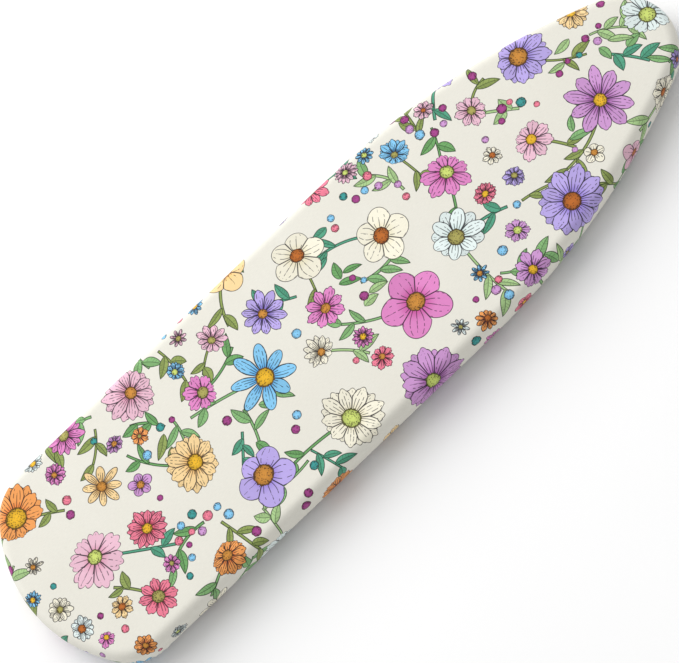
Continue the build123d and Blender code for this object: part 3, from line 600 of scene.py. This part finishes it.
def new_finish(name, roughness, **sockets):
    """A material with its shader's plain sockets set, and that shader."""
    made = bpy.data.materials.new(name)
    made.use_nodes = True
    shader = made.node_tree.nodes["Principled BSDF"]
    shader.inputs["Roughness"].default_value = roughness
    for socket, value in sockets.items():
        shader.inputs[socket.replace("_", " ")].default_value = value
    return made, made.node_tree, shader


cotton, tree, shader = new_finish("printed_cotton", 0.88, Sheen_Weight=0.12, Specular_IOR_Level=0.2)
(cut_x, cut_y, _), cut_place = read(tree, "cut")
cloud = put(tree, "TexNoise", cut_place, None, 9.0, 3.0, 0.5)
along_threads = put(tree, "Mapping", cut_place, None, None, (1.0, 7.0, 1.0))
slub = put(tree, "TexNoise", along_threads, None, 160.0, 2.0, 0.5)
cream = layover(tree, cloud, (0.765, 0.740, 0.655, 1), (0.805, 0.790, 0.715, 1))
cloth_colour = cream
for layer in reversed(green_layers):
    cloth_colour = draw_green(tree, layer, cloth_colour)
for layer in reversed(flower_layers):
    cloth_colour = draw_flower(tree, layer, cloth_colour)
worn = put(tree, "MapRange", slub, 0.3, 0.7, 0.955, 1.02)
cloth_colour = layover(tree, 1.0, cloth_colour, put(tree, "CombineXYZ", worn, worn, worn), "MULTIPLY")
tree.links.new(cloth_colour, shader.inputs["Base Color"])
thread_pitch = 0.00062
warp = calc(tree, "SINE", calc(tree, "MULTIPLY", cut_x, math.tau / thread_pitch))
weft = calc(tree, "SINE", calc(tree, "MULTIPLY", cut_y, math.tau / thread_pitch))
weave = calc(tree, "MULTIPLY_ADD", calc(tree, "MULTIPLY", warp, weft), 0.5, slub)
bump = tree.nodes.new("ShaderNodeBump")
bump.inputs["Strength"].default_value = 0.35
bump.inputs["Distance"].default_value = 0.0002
tree.links.new(weave, bump.inputs["Height"])
tree.links.new(bump.outputs[0], shader.inputs["Normal"])
cover_mesh.materials.append(cotton)

thicken = cover_piece.modifiers.new("thickness", "SOLIDIFY")
thicken.thickness = cloth_thickness
thicken.offset = -1
thicken.use_even_offset = True
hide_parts("cover")
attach(cover_piece, "board")

# ---------------------------------------------------------------- pad
# Needled felt under the cover, cut a little smaller than the board, with a soft rounded edge.


def ring_faces(index):
    """Four-sided faces between closed rings of points, one ring a row."""
    after = np.roll(index, -1, axis=1)
    return np.stack([index[:-1], after[:-1], after[1:], index[1:]], axis=-1).reshape(-1, 4)


def turned_outward(mesh):
    """Turns every face of a closed mesh outward."""
    shaped = bmesh.new()
    shaped.from_mesh(mesh)
    bmesh.ops.recalc_face_normals(shaped, faces=shaped.faces)
    shaped.to_mesh(mesh)
    shaped.free()


pad_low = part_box("foam_pad")[0].z
pad_gap = 0.0004
pad_clear = 0.0002
pad_flat_inset = 0.060
pad_columns = 480
pad_edge_r = roll_r - cloth_thickness - pad_gap
pad_middle = cover_high - top_dip - roll_r
pad_rows = [(pad_flat_inset, pad_low)]
for step in range(9):
    lean = math.acos((pad_low - pad_middle) / pad_edge_r) * (1 - step / 8)
    pad_height = pad_middle - pad_clear + pad_edge_r * math.cos(lean)
    pad_rows.append((roll_r - pad_edge_r * math.sin(lean), pad_height))
pad_rows[1] = (pad_rows[1][0], pad_low)
pad_rows.append((pad_flat_inset, pad_rows[-1][1]))
pad_edge_points, pad_outward, _, _ = board_edge(pad_columns)
pad_points = []
for inset, height in pad_rows:
    pad_points.append(np.c_[pad_edge_points - pad_outward * inset, np.full(pad_columns, height)])
pad_index = np.arange(len(pad_rows) * pad_columns).reshape(-1, pad_columns)
pad_faces = ring_faces(pad_index)
pad_mesh = bpy.data.meshes.new("felt_pad")
pad_mesh.from_pydata(
    np.concatenate(pad_points).tolist(), [],
    pad_faces.tolist() + [pad_index[0][::-1].tolist(), pad_index[-1].tolist()],
)
turned_outward(pad_mesh)
felt_pad = bpy.data.objects.new("felt_pad", pad_mesh)
bpy.context.scene.collection.objects.link(felt_pad)


def bumped(tree, shader, height, strength, distance):
    """Feeds a height to the shader's normal."""
    bump = tree.nodes.new("ShaderNodeBump")
    bump.inputs["Strength"].default_value = strength
    bump.inputs["Distance"].default_value = distance
    tree.links.new(height, bump.inputs["Height"])
    tree.links.new(bump.outputs[0], shader.inputs["Normal"])


felt, tree, shader = new_finish("felt", 0.95, Sheen_Weight=0.2)
place = put(tree, "TexCoord", out=3)
fibres = put(tree, "TexNoise", place, None, 900.0, 4.0, 0.7)
fibre_colour = layover(tree, fibres, (0.46, 0.46, 0.44, 1), (0.72, 0.72, 0.70, 1))
tree.links.new(fibre_colour, shader.inputs["Base Color"])
bumped(tree, shader, fibres, 0.6, 0.0006)
pad_mesh.materials.append(felt)
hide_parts("foam_pad")
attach(felt_pad, "board")

# ---------------------------------------------------------------- elastic
# A flat ribbed band that lies in the hem all the way round and draws it in.
band_low, band_high = (corner.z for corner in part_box("hem_elastic"))
band_columns = 1200
band_edge, band_outward, _, band_length = board_edge(band_columns)
band_place = np.arange(band_columns) * band_length / band_columns
band_rib = 0.00012 * np.sin(band_place * math.tau / 0.0110)
band_section = ((0.0172, band_low), (0.0218, band_low), (0.0218, band_high), (0.0172, band_high))
band_points = []
for inset, z in band_section:
    band_points.append(np.c_[band_edge - band_outward * inset, z + band_rib])
band_index = np.arange(4 * band_columns).reshape(4, band_columns)
band_index = np.r_[band_index, band_index[:1]]
band_faces = ring_faces(band_index)
band_mesh = bpy.data.meshes.new("elastic_band")
band_mesh.from_pydata(np.concatenate(band_points).tolist(), [], band_faces.tolist())
turned_outward(band_mesh)
elastic_band = bpy.data.objects.new("elastic_band", band_mesh)
bpy.context.scene.collection.objects.link(elastic_band)
ribbed, tree, shader = new_finish("ribbed_elastic", 0.8, Sheen_Weight=0.15)
place = put(tree, "TexCoord", out=3)
ribs = put(tree, "TexWave", place, 900.0, 1.5, 2.0, 1.0)
rib_colour = layover(tree, ribs, (0.62, 0.62, 0.60, 1), (0.84, 0.84, 0.82, 1))
tree.links.new(rib_colour, shader.inputs["Base Color"])
bumped(tree, shader, ribs, 0.5, 0.0003)
band_mesh.materials.append(ribbed)
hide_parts("hem_elastic")
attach(elastic_band, "board")

# ---------------------------------------------------------------- hem stitching
# A row of lock stitches in cream thread that closes the hem over the elastic. Each stitch is a
# short straight length of thread, set along the hem by its pitch.
stitch_row = row_count - 3
stitch_path = points[stitch_row].copy()
stitch_path[:, 2] -= 0.0003
path_mesh = bpy.data.meshes.new("stitch_path")
path_steps = [(i, (i + 1) % cover_columns) for i in range(cover_columns)]
path_mesh.from_pydata(stitch_path.tolist(), path_steps, [])
hem_stitching = bpy.data.objects.new("hem_stitching", path_mesh)
bpy.context.scene.collection.objects.link(hem_stitching)
thread, tree, shader = new_finish("sewing_thread", 0.7, Sheen_Weight=0.2)
place = put(tree, "TexCoord", out=3)
twist = put(tree, "TexWave", place, 2200.0, 1.0, 1.0, 1.0)
thread_colour = layover(tree, twist, (0.66, 0.62, 0.50, 1), (0.86, 0.83, 0.72, 1))
tree.links.new(thread_colour, shader.inputs["Base Color"])
bumped(tree, shader, twist, 0.4, 0.0001)


def repeats_tree(name, inputs):
    """An empty geometry tree with a mesh in and out and named number inputs."""
    tree = bpy.data.node_groups.new(name, "GeometryNodeTree")
    tree.interface.new_socket("Geometry", in_out="INPUT", socket_type="NodeSocketGeometry")
    for label, value in inputs.items():
        socket = tree.interface.new_socket(label, in_out="INPUT", socket_type="NodeSocketFloat")
        socket.default_value = value
    tree.interface.new_socket("Geometry", in_out="OUTPUT", socket_type="NodeSocketGeometry")
    return tree, tree.nodes.new("NodeGroupInput"), tree.nodes.new("NodeGroupOutput")


def add(tree, kind, links=None, **settings):
    """Adds a geometry node, sets its options and links its named inputs."""
    node = tree.nodes.new(kind)
    for name, value in settings.items():
        setattr(node, name, value)
    for name, value in (links or {}).items():
        socket = node.inputs[name]
        if isinstance(value, bpy.types.NodeSocket):
            tree.links.new(value, socket)
        else:
            socket.default_value = value
    return node


def grown(obj, tree, values, material):
    """Turns an object into the plain mesh that a geometry tree grows on it."""
    modifier = obj.modifiers.new("grown", "NODES")
    modifier.node_group = tree
    for item in tree.interface.items_tree:
        if item.in_out == "INPUT" and item.name in values:
            modifier[item.identifier] = values[item.name]
    obj.update_tag()
    view = bpy.context.evaluated_depsgraph_get()
    mesh = bpy.data.meshes.new_from_object(obj.evaluated_get(view))
    obj.modifiers.remove(modifier)
    obj.data = mesh
    mesh.materials.clear()
    mesh.materials.append(material)
    mesh.polygons.foreach_set("use_smooth", np.ones(len(mesh.polygons), bool))
    return obj


stitch_sizes = {"Pitch": 0.0036, "Length": 0.0026, "Thread": 0.00026}
stitch_tree, given, result = repeats_tree("stitches", stitch_sizes)
run = add(stitch_tree, "GeometryNodeMeshToCurve", {"Mesh": given.outputs["Geometry"]})
spaced = add(stitch_tree, "GeometryNodeResampleCurve", {
    "Curve": run.outputs[0], "Length": given.outputs["Pitch"],
}, mode="LENGTH")
heading = add(stitch_tree, "GeometryNodeInputTangent")
facing = add(stitch_tree, "FunctionNodeAlignRotationToVector", {"Vector": heading.outputs[0]}, axis="Z")
one = add(stitch_tree, "GeometryNodeMeshCylinder", {
    "Vertices": 6, "Side Segments": 3,
    "Radius": given.outputs["Thread"], "Depth": given.outputs["Length"],
})
many = add(stitch_tree, "GeometryNodeInstanceOnPoints", {
    "Points": spaced.outputs[0], "Instance": one.outputs["Mesh"], "Rotation": facing.outputs[0],
})
real = add(stitch_tree, "GeometryNodeRealizeInstances", {"Geometry": many.outputs[0]})
dyed = add(stitch_tree, "GeometryNodeSetMaterial", {"Geometry": real.outputs[0], "Material": thread})
stitch_tree.links.new(dyed.outputs[0], result.inputs["Geometry"])
grown(hem_stitching, stitch_tree, stitch_sizes, thread)
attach(hem_stitching, "board")

# ---------------------------------------------------------------- painted steel
# The punched sheet, its ribs and the rolled rim are steel with a satin grey powder coat; the
# leg tubes, bars and brace wear a pale coat of the same kind. Both carry small rubbed marks strewn by
# noise.


def powder_coat(name, colour, rubbed):
    """Powder coat: a fine orange-peel skin with faint clouding and small rubbed marks."""
    made, tree, shader = new_finish(name, 0.45, Specular_IOR_Level=0.45)
    place = put(tree, "TexCoord", out=3)
    cloud = put(tree, "TexNoise", place, None, 14.0, 4.0, 0.6)
    stretched = put(tree, "Mapping", place, None, None, (1.0, 5.0, 5.0))
    marks = put(tree, "TexNoise", stretched, None, 60.0, 6.0, 0.7)
    dark = tuple(c * 0.90 for c in colour) + (1,)
    shade = layover(tree, cloud, dark, (*colour, 1))
    worn = calc(tree, "MULTIPLY", fade(tree, marks, 0.66, 0.74), 0.5)
    shade = layover(tree, worn, shade, (*rubbed, 1))
    tree.links.new(shade, shader.inputs["Base Color"])
    tree.links.new(put(tree, "MapRange", marks, 0.3, 0.8, 0.38, 0.58), shader.inputs["Roughness"])
    bumped(tree, shader, put(tree, "TexNoise", place, None, 1400.0, 2.0, 0.5), 0.10, 0.0003)
    return made


def finish_nodes(names, material):
    """Gives CAD nodes their finish."""
    for name in names:
        nodes[name].data.materials.clear()
        nodes[name].data.materials.append(material)


grey_coat = powder_coat("grey_powder_coat", (0.42, 0.44, 0.45), (0.30, 0.31, 0.32))
pale_coat = powder_coat("pale_powder_coat", (0.78, 0.78, 0.75), (0.55, 0.55, 0.53))
finish_nodes(("mesh_top", "edge_rim", "rib_middle", "rib_front", "rib_nose"), grey_coat)
finish_nodes((
    "rear_leg_tube_left", "rear_leg_tube_right", "rear_leg_sleeves", "rear_foot_bar", "rear_leg_brace",
    "front_leg_tube_left", "front_leg_tube_right", "front_leg_sleeves", "front_foot_bar",
    "front_leg_crossbar_upper", "front_leg_crossbar_lower",
), pale_coat)

# ---------------------------------------------------------------- bare and plated steel
# Tracks, rack and brackets are zinc plated, with the plating's pale spangle. Pins, rods, screws
# and the pawl are bright drawn or turned steel, with fine lines along and round them.


def plated_steel(name, colour, line_scale, spangle):
    """Steel with fine machining lines and a clouded plating."""
    made, tree, shader = new_finish(name, 0.35, Metallic=1.0)
    place = put(tree, "TexCoord", out=3)
    stretched = put(tree, "Mapping", place, None, None, line_scale)
    lines = put(tree, "TexNoise", stretched, None, 120.0, 5.0, 0.7)
    cells = put(tree, "RGBToBW", put(tree, "TexVoronoi", place, None, 110.0, out=1))
    tone = layover(tree, spangle, (*colour, 1), cells, "SOFT_LIGHT")
    tree.links.new(tone, shader.inputs["Base Color"])
    tree.links.new(put(tree, "MapRange", lines, 0.25, 0.75, 0.22, 0.46), shader.inputs["Roughness"])
    bumped(tree, shader, lines, 0.12, 0.0002)
    return made


zinc = plated_steel("zinc_plate", (0.60, 0.61, 0.62), (1.0, 1.0, 1.0), 0.35)
drawn = plated_steel("bright_steel", (0.66, 0.66, 0.66), (14.0, 1.0, 14.0), 0.08)
finish_nodes((
    "track_left", "track_right", "height_rack",
    "carriage_bracket", "hinge_bracket_left", "hinge_bracket_right",
), zinc)
finish_nodes((
    "hinge_pins", "catch_rivet", "brace_rivets", "centre_pivot_rod", "slider_rod", "slider_rod_clips",
    "shoe_screws", "pawl_pin", "lever_rod", "lever_clip",
    "rear_foot_collars", "front_foot_collars", "pawl",
), drawn)

# ---------------------------------------------------------------- rubber and plastics
# Moulded parts: black rubber shoes and bumpers, dark grey plugs, caps, stops, catch and grip with
# a fine spark-eroded grain, and milky nylon where parts slide.


def moulded(name, colour, roughness, grain, depth, **sockets):
    """A moulded plastic or rubber with an even grain and faint scuffs."""
    made, tree, shader = new_finish(name, roughness, **sockets)
    place = put(tree, "TexCoord", out=3)
    skin = put(tree, "TexNoise", place, None, grain, 3.0, 0.6)
    stretched = put(tree, "Mapping", place, None, None, (6.0, 1.0, 3.0))
    scuffs = put(tree, "TexNoise", stretched, None, 45.0, 5.0, 0.7)
    pale = tuple(min(1.0, c * 1.35 + 0.02) for c in colour) + (1,)
    tone = layover(tree, fade(tree, scuffs, 0.45, 0.85), (*colour, 1), pale)
    tree.links.new(tone, shader.inputs["Base Color"])
    shine = put(tree, "MapRange", scuffs, 0.2, 0.8, roughness - 0.08, roughness + 0.08)
    tree.links.new(shine, shader.inputs["Roughness"])
    bumped(tree, shader, skin, depth, 0.0003)
    return made


rubber = moulded("shoe_rubber", (0.022, 0.022, 0.024), 0.78, 700.0, 0.35)
grey_plastic = moulded("grey_plastic", (0.085, 0.09, 0.10), 0.52, 1100.0, 0.25)
nylon = moulded("nylon", (0.74, 0.72, 0.64), 0.38, 500.0, 0.08, Subsurface_Weight=0.15)
finish_nodes((
    "rear_shoe_left", "rear_shoe_right", "front_shoe_left", "front_shoe_right", "leg_bumpers",
), rubber)
finish_nodes((
    "rear_leg_end_plugs", "front_leg_end_plugs", "pivot_caps",
    "track_stops", "storage_catch", "lever_grip",
), grey_plastic)
finish_nodes(("pivot_spacers", "carriage_shoe_left", "carriage_shoe_right", "lever_cam"), nylon)

# ---------------------------------------------------------------- floor and light
# A plain pale floor, a soft high lamp and a wide panel from the board's left, and even light
# all round.
floor_mesh = bpy.data.meshes.new("floor")
reach = 14.0
floor_corners = [(-reach, -reach, 0), (reach, -reach, 0), (reach, reach, 0), (-reach, reach, 0)]
floor_mesh.from_pydata(floor_corners, [], [(0, 1, 2, 3)])
floor = bpy.data.objects.new("floor", floor_mesh)
bpy.context.scene.collection.objects.link(floor)
floor_finish, tree, shader = new_finish("floor_finish", 0.9, Specular_IOR_Level=0.1)
place = put(tree, "TexCoord", out=3)
patches = put(tree, "TexNoise", place, None, 3.0, 2.0, 0.5)
floor_colour = layover(tree, patches, (0.955, 0.955, 0.955, 1), (0.975, 0.975, 0.975, 1))
tree.links.new(floor_colour, shader.inputs["Base Color"])
floor_mesh.materials.append(floor_finish)

sun = bpy.data.objects.new("key_lamp", bpy.data.lights.new("key_lamp", "SUN"))
sun.data.energy = 1.75
sun.data.angle = math.radians(65)
sun.rotation_mode = "QUATERNION"
sun.rotation_quaternion = Vector((-0.25, 1.0, 1.0)).to_track_quat("Z", "Y")
bpy.context.scene.collection.objects.link(sun)
panel = bpy.data.objects.new("side_panel", bpy.data.lights.new("side_panel", "AREA"))
panel.data.shape = "RECTANGLE"
panel.data.size = 2.2
panel.data.size_y = 0.9
panel.data.energy = 8.0
panel.location = (-0.25, 1.15, 0.85)
panel.rotation_mode = "QUATERNION"
panel.rotation_quaternion = (panel.location - Vector((-0.1, 0.1, 0.06))).to_track_quat("Z", "Y")
bpy.context.scene.collection.objects.link(panel)
world = bpy.data.worlds.new("studio")
world.use_nodes = True
world.node_tree.nodes["Background"].inputs["Color"].default_value = (1.0, 1.0, 1.0, 1)
world.node_tree.nodes["Background"].inputs["Strength"].default_value = 0.56
bpy.context.scene.world = world
bpy.context.scene.view_settings.view_transform = "Standard"
